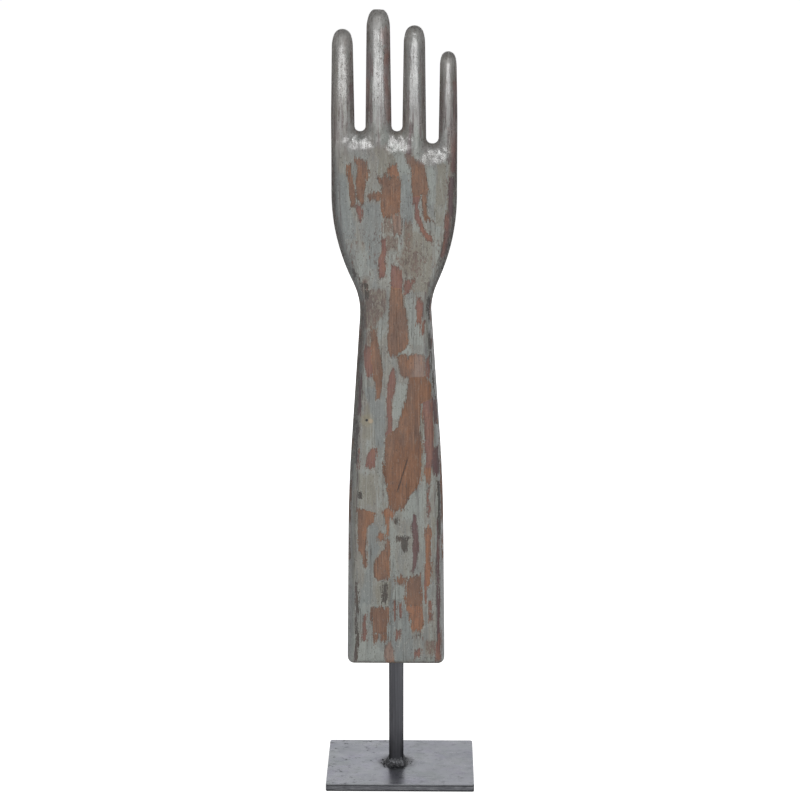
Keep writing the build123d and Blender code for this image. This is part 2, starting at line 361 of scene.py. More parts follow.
# The carved hand: a dense copy of the solid. The columns x, y and z are views of points and change it.
hand = dense_copy("hand_form", "carved_hand", voxel=1.0)
points = coordinates(hand.data)
normals = np.array([vertex.normal for vertex in hand.data.vertices])
x, y, z = points.T
SOCKET_HALF = POST_HALF + 2
SOCKET_TOP = POST_HIGH[2] + 5
socket = (np.abs(x - POST_X) < SOCKET_HALF) & (np.abs(y) < SOCKET_HALF) & (z < SOCKET_TOP)
on_rim = (np.abs(y) < 1.2) & (np.abs(normals[:, 1]) < 0.35) & ~socket & (z > CUFF + 4)
edge, inward = rim_distance(points, points[on_rim])

# Rounding: the sides are drawn on to an ellipse, as carving and rubbing leave them
half = ARM_HALF + (FINGER_HALF - ARM_HALF) * smoothstep(SLOPE_FOOT - 12, SLOPE_TOP + 12, z)
fingers = smoothstep(436, 462, z)
reach = 6.2 + fingers * (0.1 - smoothstep(22, 27, x))
across = (reach - np.minimum(edge, reach)) / reach
through = np.abs(y) / half
shrink = 1.0 / np.maximum(np.hypot(across, through), 1e-6)
weight = smoothstep(CUFF + 4, CUFF + 16, z) * ~socket
new_edge = reach * (1 - across * shrink)
move = np.where(edge > 0.3, new_edge - np.minimum(edge, reach), 0.0) * weight
x += inward[:, 0] * move
z += inward[:, 1] * move
y += (np.sign(y) * half * through * shrink - y) * weight

# Dished webs below the finger gaps: a slope that fades downward, summed up to a depth
DISH_STEP = 0.25
below = np.arange(2.0, 20.0, DISH_STEP)
slope = 0.27 * smoothstep(18, 8, below)
sunk = slope[::-1].cumsum()[::-1] * DISH_STEP
dish = np.zeros(len(z))
wobble = 2.2 * grain_noise(points, (10, 40, 40), 1)
for gap_x, gap_z in GAPS:
    hollow = np.interp(gap_z - z + wobble, below, sunk) * smoothstep(gap_z + 9, gap_z + 1, z)
    spread = smoothstep(-2, 8, gap_z - z)
    sideways = smoothstep(12 + 4 * spread, 1.5 + 2 * spread, np.abs(x - gap_x))
    dish = np.maximum(dish, hollow * sideways)
y *= 1 - dish / half * weight
dish /= sunk[0]

# Slight crown across the arm and the unevenness of hand carving
crown = 1.1 * np.clip(np.abs(x - POST_X) / 36.0, 0, 1) ** 2 * (1 - fingers)
waves = 0.28 * grain_noise(points, (22, 30, 45)) + 0.10 * grain_noise(points, (5, 5, 26))
waves += 0.16 * smoothstep(405, 440, z) * grain_noise(points, (4, 4, 9))
waves += 0.28 * smoothstep(0.1, 0.5, dish) * grain_noise(points, (9, 12, 7), 2)
outside = weight * (np.abs(y) > 3)
y -= np.sign(y) * outside * np.clip(crown + 0.35 + waves, 0, 3) * smoothstep(0.5, 6, edge)

# Blunt tip of the middle finger with its small nick
TIP_RADIUS = 6.6
tip_x, tip_z = MIDDLE_TIP
from_tip = np.abs(x - tip_x)
round_drop = TIP_RADIUS - np.sqrt(TIP_RADIUS ** 2 - np.minimum(from_tip, 6.0) ** 2)
blunt = np.clip(round_drop - 0.5, -0.5, 0.25) * smoothstep(6.0, 3.0, from_tip)
nick = 0.3 * bell(x, tip_x + 2.6, 1.0)
z += (blunt - nick) * smoothstep(tip_z - 7, tip_z - 1, z)

# Nail hole in the forearm, and a socket that stands clear of the bar
hole = np.hypot(x - NAIL[0], z - NAIL[2])
y += np.where(y < 0, bell(hole, 0, 0.9), 0)
SOCKET_EASE = 1.08
x[socket] = POST_X + (x[socket] - POST_X) * SOCKET_EASE
y[socket] *= SOCKET_EASE

points = np.clip(points, FORM_LOW, FORM_HIGH)
hand.data.vertices.foreach_set("co", (points * MM).ravel())
hand.data.update()
smooth(hand.data)
x, y, z = points.T


# Where the paint has gone: patches reach in from the front, the back and the sides, and then fall off
FAR_OUTSIDE = -40.0
END_TAPER = 1.7
FRONT_DEPTH = 4.5
BACK_DEPTH = 2.5
SIDE_DEPTH = 1.5
FALL_OFF = 0.7


def patch_field(sideways, up, patches):
    """Distance inside the nearest patch and its place on the ramp. A faded patch has thin paint."""
    ramp_places = {name: place for name, (place, _) in {**TONES, **SHADES}.items()}
    inside = {kind: np.full(len(up), FAR_OUTSIDE) for kind in ("bare", "thin", "coat")}
    tones = {kind: np.zeros(len(up)) for kind in inside}
    for name, rows in patches:
        kind = "bare" if name in TONES else "coat" if name in SHADES else "thin"
        heights, lefts, rights = zip(*reversed(rows))
        left = np.interp(up, heights, lefts)
        right = np.interp(up, heights, rights)
        ends = np.minimum(up - heights[0], heights[-1] - up) / END_TAPER
        depth = np.minimum(np.minimum(sideways - left, right - sideways), ends)
        wins = depth > inside[kind]
        tones[kind] = np.where(wins, ramp_places.get(name, 0.0), tones[kind])
        inside[kind] = np.where(wins, depth, inside[kind])
    return inside, tones


def scattered(rng, count, middles, tops, widths, lengths, names):
    """Upright strips strewn over an area, as flaking along the grain leaves them."""
    strips = []
    for _ in range(count):
        middle = rng.uniform(*middles)
        top = rng.uniform(*tops)
        width = rng.uniform(*widths)
        length = rng.uniform(*lengths)
        lean = rng.uniform(-1.5, 1.5)
        name = rng.choice(names)
        rows = []
        for share in (0.0, 0.2, 0.35, 0.6, 0.8, 1.0):
            half_width = width / 2 * rng.uniform(0.5, 1.1)
            centre = middle + lean * share + rng.uniform(-1.2, 1.2)
            rows.append((top - share * length, centre - half_width, centre + half_width))
        strips.append((name, rows))
    return strips


strip_rng = np.random.default_rng(7)
back_strips = [strip for area in BACK_STRIPS for strip in scattered(strip_rng, *area)]
side_strips = [strip for area in SIDE_STRIPS for strip in scattered(strip_rng, *area)]
depth = half + y
layers = [
    (patch_field(x, z, FRONT_WEAR), np.clip(depth - FRONT_DEPTH, 0, None)),
    (patch_field(x, z, back_strips), np.clip(2 * half - depth - BACK_DEPTH, 0, None)),
    (patch_field(y, z, side_strips), np.clip(edge - SIDE_DEPTH, 0, None)),
]


def nearest_patch(kind):
    """The field and tone of the front, back or side patch that reaches each place most."""
    reaching = np.stack([inside[kind] - FALL_OFF * off for (inside, _), off in layers])
    tones = np.stack([tones[kind] for (_, tones), _ in layers])
    chosen = reaching.argmax(0)[None]
    return np.take_along_axis(reaching, chosen, 0)[0], np.take_along_axis(tones, chosen, 0)[0]


wear, tone = nearest_patch("bare")
coat, coat_tone = nearest_patch("coat")
thin, _ = nearest_patch("thin")
rub = np.maximum.reduce([
    0.8 * smoothstep(-5.0, 4.0, thin),
    0.4 * np.exp(-np.abs(wear) / 2.0),
    0.42 * smoothstep(320, 350, z) * smoothstep(405, 375, z),
    0.68 * bell(x, 7, 15) * bell(z, 366, 20),
    0.75 * bell(x, -23, 5) * bell(z, 349, 12),
    (0.3 + 0.2 * smoothstep(6.0, 2.0, edge)) * smoothstep(435, 460, z),
    0.55 * smoothstep(5.0, 0.5, edge) * smoothstep(330, 380, z),
    0.45 * smoothstep(4.0, 0.5, edge),
])
upper_fingers = 0.18 * smoothstep(430, 450, z) + 0.82 * smoothstep(460, 490, z)
gloss = np.maximum(upper_fingers, smoothstep(0.06, 0.34, dish))
tips = np.zeros(len(z))
for (tip_x, tip_z), matt in zip(TIPS, MATT_LENGTHS):
    on_finger = np.abs(x - tip_x) < FINGER_REACH
    gloss *= 1 - 0.75 * smoothstep(tip_z - matt, tip_z - 0.5 * matt, z) * on_finger
    tips = np.maximum(tips, smoothstep(tip_z - 18, tip_z - 4, z) * on_finger)
right_flank = smoothstep(0, 10, x) * smoothstep(350, 325, z)
left_flank = smoothstep(0, -10, x) * smoothstep(240, 190, z)
fields = {
    "wear": np.clip(wear, -12, 12),
    "tone": tone,
    "coat": np.clip(coat, -12, 12),
    "coat_tone": coat_tone,
    "rub": rub,
    "rim": edge,
    "finger": np.maximum(smoothstep(426, 452, z), smoothstep(0.02, 0.3, dish)),
    "gloss": gloss,
    "tips": tips,
    "flank": right_flank + 0.55 * left_flank,
}
for name, values in fields.items():
    store(hand.data, name, values)
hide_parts("hand_form")
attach(hand, "hand")


# Node trees
def srgb(*channels):
    """A colour given as 0 to 255 in the way a screen shows it, as Blender counts light."""
    shares = [channel / 255 for channel in channels]
    return (*((c / 12.92 if c <= 0.04045 else ((c + 0.055) / 1.055) ** 2.4) for c in shares), 1.0)


class Tree:
    """Short names for the nodes that materials, floor and world are built from."""

    def __init__(self, node_tree):
        self.nodes = node_tree.nodes
        self.links = node_tree.links

    def put(self, socket, value):
        if isinstance(value, bpy.types.NodeSocket):
            self.links.new(value, socket)
        else:
            socket.default_value = value

    def axes(self, coordinate):
        node = self.nodes.new("ShaderNodeSeparateXYZ")
        self.put(node.inputs[0], coordinate)
        return node.outputs

    def math(self, operation, a, b=0.0):
        node = self.nodes.new("ShaderNodeMath")
        node.operation = operation
        self.put(node.inputs[0], a)
        self.put(node.inputs[1], b)
        return node.outputs[0]

    def plus(self, total, *others):
        for other in others:
            total = self.math("ADD", total, other)
        return total

    def minus(self, a, b):
        return self.math("SUBTRACT", a, b)

    def times(self, product, *others):
        for other in others:
            product = self.math("MULTIPLY", product, other)
        return product

    def weighted(self, *parts):
        """The sum of values, each times its weight."""
        return self.plus(*(self.times(value, weight) for value, weight in parts))

    def size(self, value):
        return self.math("ABSOLUTE", value)

    def step(self, value, low, high, out_low=0.0, out_high=1.0):
        node = self.nodes.new("ShaderNodeMapRange")
        node.interpolation_type = "SMOOTHSTEP"
        self.put(node.inputs["Value"], value)
        limits = (("From Min", low), ("From Max", high), ("To Min", out_low), ("To Max", out_high))
        for label, number in limits:
            self.put(node.inputs[label], number)
        return node.outputs[0]

    def between(self, factor, a, b):
        """A number between two others."""
        node = self.nodes.new("ShaderNodeMix")
        for place, value in ((0, factor), (2, a), (3, b)):
            self.put(node.inputs[place], value)
        return node.outputs[0]

    def mix(self, factor, a, b):
        """A colour between two others."""
        node = self.nodes.new("ShaderNodeMix")
        node.data_type = "RGBA"
        for place, value in ((0, factor), (6, a), (7, b)):
            self.put(node.inputs[place], value)
        return node.outputs[2]


class Material(Tree):
    """A principled material whose noises are measured in mm on the object."""

    def __init__(self, name):
        self.material = bpy.data.materials.new(name)
        self.material.use_nodes = True
        super().__init__(self.material.node_tree)
        self.nodes.clear()
        output = self.nodes.new("ShaderNodeOutputMaterial")
        self.shader = self.nodes.new("ShaderNodeBsdfPrincipled")
        self.links.new(self.shader.outputs[0], output.inputs[0])
        self.place = self.nodes.new("ShaderNodeTexCoord").outputs["Object"]

    def set(self, name, value):
        self.put(self.shader.inputs[name], value)

    def dress(self, piece):
        piece.data.materials.clear()
        piece.data.materials.append(self.material)

    def attribute(self, name):
        node = self.nodes.new("ShaderNodeAttribute")
        node.attribute_name = name
        return node.outputs["Fac"]

    def distance(self, place):
        """Distance from a place that is given in mm."""
        node = self.nodes.new("ShaderNodeVectorMath")
        node.operation = "DISTANCE"
        self.put(node.inputs[0], self.place)
        self.put(node.inputs[1], [number * MM for number in place])
        return node.outputs["Value"]

    def noise(self, sizes, detail, rough, shift=(0, 0, 0), distort=0.0):
        """Noise with a size in mm along each axis."""
        mapping = self.nodes.new("ShaderNodeMapping")
        self.put(mapping.inputs["Vector"], self.place)
        self.put(mapping.inputs["Scale"], [1 / (size * MM) for size in sizes])
        self.put(mapping.inputs["Location"], shift)
        node = self.nodes.new("ShaderNodeTexNoise")
        settings = {
            "Vector": mapping.outputs[0],
            "Scale": 1.0,
            "Detail": detail,
            "Roughness": rough,
            "Distortion": distort,
        }
        for label, value in settings.items():
            self.put(node.inputs[label], value)
        return node.outputs["Fac"]

    def swing(self, value, size):
        """Noise turned into a length of up to half the size either way."""
        return self.times(self.minus(value, 0.5), size)

    def vein(self, value, outer, inner, share=1.0):
        """Thin lines where noise passes through its middle."""
        return self.step(self.size(self.minus(value, 0.5)), outer, inner, 0.0, share)

    def ramp(self, value, stops):
        node = self.nodes.new("ShaderNodeValToRGB")
        elements = node.color_ramp.elements
        while len(elements) < len(stops):
            elements.new(0.5)
        for element, (position, colour) in zip(elements, stops):
            element.position = position
            element.color = srgb(*colour)
        self.put(node.inputs[0], value)
        return node.outputs[0]

    def over(self, colour, layers):
        """Colours laid one by one over another, each by its own factor."""
        for factor, tint in layers:
            colour = self.mix(factor, colour, srgb(*tint))
        return colour

    def tinted(self, colour, layers):
        """Colours laid over another where a value lies between two limits, each up to its share."""
        steps = [(self.step(value, low, high, 0.0, share), tint) for value, low, high, share, tint in layers]
        return self.over(colour, steps)

    def relief(self, *layers):
        """Bumps laid one over the other: height, depth in mm and strength of each."""
        normal = None
        for height, depth, strength in layers:
            node = self.nodes.new("ShaderNodeBump")
            self.put(node.inputs["Height"], height)
            self.put(node.inputs["Distance"], depth * MM)
            self.put(node.inputs["Strength"], strength)
            if normal is not None:
                self.put(node.inputs["Normal"], normal)
            normal = node.outputs[0]
        return normal


# Flaking paint over wood: fields and noises that several layers share
look = Material("flaking_paint")
field = {name: look.attribute(name) for name in fields}
rim, finger, flank = field["rim"], field["finger"], field["flank"]
ragged = look.swing(look.noise((2.4, 6, 15), 4, 0.62), 5.6)
hairs = look.swing(look.noise((0.55, 3, 11), 2, 0.6, (3, 7, 1)), 4.4)
crumbs = look.swing(look.noise((0.8, 0.8, 1.2), 3, 0.7, (5, 1, 7)), 3.4)
level = look.plus(field["wear"], ragged, hairs, crumbs)
bare = look.step(level, -0.25, 0.25)
rub_noise = look.noise((1.5, 1.5, 3.0), 5, 0.72, (9, 2, 4))
rub_streak = look.noise((1.1, 2, 24), 3, 0.6, (1, 5, 2))
rubbed = look.weighted((rub_noise, 0.7), (rub_streak, 0.3), (field["rub"], 0.22))
rubbed = look.step(rubbed, 0.625, 0.69)
mottle = look.noise((1.6, 1.6, 2.6), 4, 0.7, (6, 1, 3))
cloud = look.noise((7, 7, 12), 3, 0.6, (8, 8, 1))
patchy = look.noise((5, 6, 16), 4, 0.62, (2, 6, 8))
worn_off = look.weighted((mottle, 0.6), (rub_noise, 0.4))

# The coats of paint
broad = look.noise((24, 24, 55), 3, 0.55, (4, 4, 8))
streak = look.noise((1.2, 3, 44), 3, 0.62, (2, 9, 5))
second = look.noise((5, 6, 26), 4, 0.6, (5, 3, 3))
coat_ragged = look.swing(look.noise((2.4, 6, 6), 3, 0.6, (7, 2, 6)), 3.6)
coat_level = look.plus(field["coat"], coat_ragged, hairs)
paint = look.ramp(broad, [
    (0.32, (115, 120, 119)),
    (0.46, (124, 126, 122)),
    (0.58, (127, 125, 117)),
    (0.70, (120, 117, 112)),
])
paint = look.tinted(paint, [
    (second, 0.545, 0.56, 0.5, (140, 146, 141)),
    (second, 0.41, 0.395, 0.5, (110, 113, 113)),
])
coat_colour = look.ramp(field["coat_tone"], list(SHADES.values()))
paint = look.mix(look.step(coat_level, -0.3, 0.3, 0.0, 0.8), paint, coat_colour)
paint = look.tinted(paint, [
    (streak, 0.54, 0.70, 0.55, (148, 152, 147)),
    (streak, 0.46, 0.30, 0.6, (96, 94, 92)),
    (cloud, 0.52, 0.70, 0.3, (143, 148, 145)),
    (cloud, 0.46, 0.30, 0.3, (109, 106, 100)),
    (mottle, 0.57, 0.72, 0.35, (98, 92, 87)),
    (mottle, 0.41, 0.28, 0.3, (150, 152, 148)),
    (field["rub"], 0.42, 0.70, 0.75, (112, 101, 88)),
])
# Painted highlight: a pale line along the raised edge of the paint round worn patches
painted_lip_highlight = look.times(look.step(level, -1.3, -0.4), look.step(level, -0.1, -0.3))
painted_lip_highlight = look.times(painted_lip_highlight, look.step(cloud, 0.4, 0.6, 0.1, 0.6))
paint = look.over(paint, [(painted_lip_highlight, (152, 154, 147))])

# The bare wood
grain = look.noise((0.9, 3, 46), 4, 0.65, (8, 3, 1), 0.3)
fine_grain = look.noise((0.4, 2, 12), 2, 0.6, (5, 5, 5))
drift = look.noise((12, 12, 30), 2, 0.5, (4, 7, 3))
flecks = look.noise((1.0, 2, 6), 3, 0.7, (3, 3, 9))
tint = look.ramp(field["tone"], list(TONES.values()))
wood = look.tinted(tint, [
    (drift, 0.5, 0.66, 0.6, (104, 84, 73)),
    (drift, 0.48, 0.34, 0.6, (136, 94, 66)),
    (patchy, 0.52, 0.68, 0.55, (142, 104, 79)),
    (patchy, 0.47, 0.32, 0.55, (90, 66, 56)),
    (grain, 0.54, 0.70, 0.6, (148, 114, 90)),
    (grain, 0.46, 0.30, 0.8, (74, 55, 46)),
    (fine_grain, 0.53, 0.68, 0.5, (78, 58, 49)),
    (fine_grain, 0.45, 0.30, 0.2, (150, 118, 94)),
    (flecks, 0.60, 0.66, 0.3, (130, 123, 112)),
])
wood = look.mix(look.step(field["tone"], 0.6, 0.7, 0.0, 0.4), wood, tint)
wood = look.mix(look.step(field["tone"], 0.76, 0.86, 0.0, 0.7), wood, tint)

# Paint and wood together, with rubbed spots and dark borders at the paint edges: dirt and painted shadow of
# the paint's thickness
rub_tone = look.ramp(patchy, [(0.35, (84, 72, 68)), (0.5, (106, 88, 80)), (0.65, (120, 100, 88))])
colour = look.mix(look.times(rubbed, 0.85), paint, rub_tone)
colour = look.mix(bare, colour, wood)
edge_dirt_and_shadow = look.times(look.step(level, -0.5, 0.1), look.step(level, 1.3, 0.2))
edge_dirt_and_shadow = look.times(edge_dirt_and_shadow, look.step(rub_noise, 0.42, 0.62, 0.0, 0.4))
colour = look.over(colour, [(edge_dirt_and_shadow, (74, 58, 54))])

# Painted shade on the sides, finger colours with painted light on the tips, and darkening toward the outline
# that is dirt and painted shade
off_finger = look.minus(1.0, finger)
# Painted shade: the turned sides near the outline are painted darker, away from the fingers and the pale
# flanks
painted_side_shade = look.times(look.step(rim, 5.0, 3.8, 0.0, 0.35), look.minus(1.0, flank), off_finger)
pale_side = look.times(look.step(rim, 3.2, 1.0, 0.0, 0.8), flank, look.step(bare, 0.0, 1.0, 1.0, 0.15))
pewter = look.times(finger, look.step(cloud, 0.35, 0.6, 0.25, 0.65))
pewter = look.times(pewter, look.step(coat_level, -0.3, 0.3, 1.0, 0.3))
# Painted light: the upturned fingertips are painted paler, as light from above would make them
painted_tip_light = look.times(field["tips"], look.step(worn_off, 0.38, 0.6, 0.75, 0.35))
handled = look.times(finger, look.step(field["gloss"], 0.15, 0.85, 0.75, 0.15))
handled = look.times(handled, look.step(field["tips"], 0.0, 0.4, 1.0, 0.1))
handled = look.times(handled, look.step(rub_streak, 0.47, 0.6))
arris = look.times(look.step(rim, 4.2, 4.9), look.step(rim, 6.3, 5.6), off_finger)
arris = look.times(arris, look.step(rub_streak, 0.45, 0.6, 0.0, 0.65))
# Darkening toward the outline, held off the pale flanks and the fingers: partly dirt, partly painted shade
# on the turned sides
outline_dark_spared = look.math("MAXIMUM", flank, look.times(finger, 0.6))
outline_dirt_and_shade = look.times(look.step(rim, 5.0, 0.3, 0.0, 0.5), look.minus(1.0, outline_dark_spared))
outline_dirt_and_shade = look.times(outline_dirt_and_shade, look.step(look.noise((4, 4, 26), 3, 0.6, (7, 7, 2)), 0.3, 0.6))
outline_dirt_and_shade = look.times(outline_dirt_and_shade, look.step(mottle, 0.42, 0.6, 0.4, 1.3))
specks = look.step(look.noise((0.9, 0.9, 1.4), 2, 0.6, (1, 8, 8)), 0.62, 0.68, 0.0, 0.65)
pale_specks = look.step(look.noise((1.0, 1.0, 1.5), 2, 0.6, (6, 3, 2)), 0.64, 0.69, 0.0, 0.55)
pale_specks = look.times(pale_specks, look.step(bare, 0.0, 1.0, 1.0, 0.3))
colour = look.over(colour, [
    (painted_side_shade, (92, 93, 97)),
    (pale_side, (172, 174, 174)),
    (pewter, (133, 130, 129)),
    (painted_tip_light, (168, 167, 164)),
    (handled, (94, 82, 81)),
    (arris, (80, 72, 72)),
    (outline_dirt_and_shade, (74, 69, 70)),
    (specks, (64, 57, 54)),
    (pale_specks, (160, 160, 154)),
])

# Painted shade along the foot of the cuff, nail hole with its stain and chip, fine cracks and the split
place = look.axes(look.place)
# Painted shade: a darker band along the bottom edge of the cuff, where it turns under
foot = look.plus(place["Z"], look.swing(rub_noise, 6 * MM))
foot = look.step(foot, (CUFF + 3.0) * MM, (CUFF + 0.8) * MM, 0.0, 0.6)
from_nail = look.distance(NAIL)
stain = look.step(look.plus(from_nail, look.swing(crumbs, 2 * MM)), 5.0 * MM, 1.2 * MM, 0.0, 0.35)
chip = look.step(look.distance(CHIP), 2.1 * MM, 1.2 * MM, 0.0, 0.7)
nail = look.step(from_nail, 1.2 * MM, 0.8 * MM)
cracked = look.step(look.noise((9, 9, 40), 2, 0.5, (9, 1, 1)), 0.55, 0.65, 0.0, 0.7)
crack = look.times(look.vein(look.noise((0.8, 2, 75), 1, 0.5, (6, 6, 6)), 0.012, 0.004), cracked)
split_lean = (SPLIT_HEAD[0] - SPLIT_FOOT[0]) / (SPLIT_HEAD[1] - SPLIT_FOOT[1])
split_start = (SPLIT_FOOT[0] - split_lean * SPLIT_FOOT[1]) * MM
from_split = look.minus(look.minus(place["X"], split_start), look.times(place["Z"], split_lean))
split = look.step(look.size(look.plus(from_split, look.times(crumbs, 0.3 * MM))), 0.7 * MM, 0.2 * MM)
split = look.times(split, look.step(place["Z"], SPLIT_FOOT[1] * MM, (SPLIT_FOOT[1] + 4.5) * MM))
split = look.times(split, look.step(place["Z"], SPLIT_HEAD[1] * MM, (SPLIT_HEAD[1] - 6.0) * MM))
split = look.times(split, look.step(place["Y"], -4 * MM, -9 * MM, 0.0, 0.85))
crack = look.math("MAXIMUM", crack, split)
colour = look.over(colour, [
    (foot, (74, 62, 57)),
    (stain, (134, 124, 92)),
    (chip, (170, 152, 128)),
    (nail, (26, 22, 20)),
    (crack, (56, 44, 39)),
])
look.set("Base Color", colour)

# Polished fingers, a thin varnish drawn out along them, and relief
inner = look.step(rim, 0.8, 3.0)
dull = look.times(look.math("MAXIMUM", bare, look.times(rubbed, 0.5)), 0.1)
roughness = look.plus(dull, look.step(mottle, 0.3, 0.7, 0.46, 0.58))
polish = look.times(look.step(cloud, 0.3, 0.7, 0.24, 0.31), look.step(field["gloss"], 0.15, 0.85, 0.35, 1.0))
look.set("Roughness", look.minus(roughness, look.times(finger, inner, polish)))
drawn_out = look.weighted((worn_off, 0.5), (rub_streak, 0.5))
varnish = look.times(field["gloss"], inner, look.step(drawn_out, 0.42, 0.60, 1.0, 0.3))
look.set("Coat Weight", look.times(varnish, look.step(specks, 0.0, 0.5, 1.0, 0.2)))
look.set("Coat Roughness", 0.21)
look.set("Coat IOR", 1.75)
look.set("Normal", look.relief(
    (look.times(look.step(level, -0.6, 0.6), -1.0), 0.25, 0.7),
    (look.times(rubbed, -1.0), 0.08, 0.8),
    (look.times(crack, -1.0), 0.3, 0.8),
    (grain, 0.3, 0.5),
    (look.noise((1.6, 1.6, 3), 4, 0.65, (2, 2, 2)), 0.3, 0.5),
))
look.set("Coat Normal", look.relief(
    (look.noise((1.0, 1.4, 5.5), 3, 0.6, (4, 2, 7)), 0.16, 0.6),
    (look.noise((4, 4, 9), 2, 0.5, (1, 4, 4)), 0.3, 0.28),
))
look.dress(hand)

# Plate steel: mill scale with scuffs, flakes and pits, soot round the weld, sawn edges, painted shade
# towards the right
look = Material("scuffed_plate")
place = look.axes(look.place)
scale = look.noise((16, 12, 12), 5, 0.6, (1, 2, 3))
scuff = look.noise((16, 2.2, 3), 4, 0.7, (4, 1, 1))
scratch = look.noise((30, 0.5, 3), 2, 0.5, (2, 7, 1), 0.6)
blotch = look.noise((5, 3.2, 3), 4, 0.65, (7, 3, 2))
cast = look.noise((13, 10, 10), 2, 0.5, (9, 4, 4))
flake = look.noise((17, 12, 12), 4, 0.6, (3, 8, 2), 0.5)
pits = look.noise((1.7, 1.3, 1.5), 2, 0.6, (8, 2, 5))
plate = look.ramp(scale, [(0.3, (134, 137, 146)), (0.5, (149, 151, 158)), (0.7, (158, 160, 165))])
plate = look.tinted(plate, [
    (cast, 0.52, 0.66, 0.7, (150, 149, 162)),
    (cast, 0.48, 0.34, 0.7, (142, 147, 149)),
    (scuff, 0.52, 0.70, 0.25, (172, 174, 180)),
    (scuff, 0.46, 0.28, 0.25, (104, 106, 114)),
    (blotch, 0.58, 0.72, 0.4, (106, 108, 117)),
])
scratched = look.times(look.vein(scratch, 0.02, 0.006, 0.8), look.step(blotch, 0.4, 0.6))
flaked = look.times(look.vein(flake, 0.030, 0.010), look.step(blotch, 0.53, 0.59, 0.0, 0.9))
flaked = look.times(flaked, look.step(place["X"], 15 * MM, -20 * MM, 0.3, 1.0))
# A bright line on the front chamfer: worn steel, with a painted highlight
front_edge = look.step(place["Y"], -37.2 * MM, -37.6 * MM)
sooty = look.plus(look.distance((POST_X, 0, PLATE_TOP)), look.swing(blotch, 12 * MM))
plate = look.over(plate, [
    (scratched, (72, 74, 80)),
    (look.step(flake, 0.5, 0.52, 0.0, 0.25), (166, 168, 176)),
    (flaked, (62, 64, 70)),
    # Painted shade: the plate darkens towards the right
    (look.step(place["X"], -40 * MM, 30 * MM, 0.0, 0.16), (110, 112, 119)),
    (look.step(pits, 0.69, 0.73, 0.0, 0.7), (76, 78, 84)),
    (look.times(front_edge, look.step(scuff, 0.4, 0.6, 0.3, 0.7)), (186, 188, 192)),
    (look.step(sooty, 16 * MM, 8 * MM, 0.0, 0.8), (58, 58, 61)),
])
sawn = look.noise((6, 6, 0.5), 3, 0.7, (3, 3, 1))
sawn_steel = look.ramp(sawn, [(0.3, (70, 71, 75)), (0.55, (102, 103, 107)), (0.72, (132, 133, 136))])
band = look.times(look.step(place["Z"], 0.7 * MM, 1.4 * MM), look.step(place["Z"], 4.2 * MM, 3.4 * MM))
sawn_steel = look.over(sawn_steel, [(look.step(band, 0.0, 1.0, 0.9, 0.0), (38, 39, 42))])
normal = look.axes(look.nodes.new("ShaderNodeNewGeometry").outputs["Normal"])
upright = look.step(look.size(normal["Z"]), 0.55, 0.35)
look.set("Base Color", look.mix(upright, plate, sawn_steel))
look.set("Metallic", 0.85)
look.set("Roughness", look.plus(look.step(scuff, 0.3, 0.7, 0.26, 0.36), look.times(upright, 0.2)))
look.set("Normal", look.relief((scuff, 0.02, 0.3), (blotch, 0.03, 0.3)))
look.dress(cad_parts["base_plate"])

# Bar steel: drawn lines, burnt dark above the weld, and painted light towards the right
look = Material("dark_bar")
place = look.axes(look.place)
drawn = look.noise((0.8, 0.8, 60), 3, 0.6, (1, 1, 4))
scale = look.noise((4, 4, 16), 4, 0.65, (5, 2, 2))
from_middle = look.size(look.minus(place["X"], POST_X * MM))
burnt = look.step(look.plus(place["Z"], look.swing(scale, 20 * MM)), 36 * MM, 13 * MM)
bar = look.ramp(drawn, [(0.3, (56, 57, 61)), (0.5, (69, 69, 73)), (0.7, (84, 85, 89))])
bar = look.over(bar, [
    (look.step(scale, 0.55, 0.75, 0.0, 0.6), (48, 48, 51)),
    # Painted light: the bar is lighter towards its right
    (look.step(place["X"], -4 * MM, 0.5 * MM, 0.0, 0.35), (92, 93, 97)),
    (look.times(burnt, look.step(from_middle, 1.5 * MM, 4.2 * MM, 0.45, 0.95)), (30, 30, 32)),
])
look.set("Base Color", bar)
look.set("Metallic", 0.8)
look.set("Roughness", look.step(scale, 0.3, 0.7, 0.34, 0.5))
look.set("Normal", look.relief((drawn, 0.05, 0.5), (scale, 0.12, 0.4)))
look.dress(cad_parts["post"])


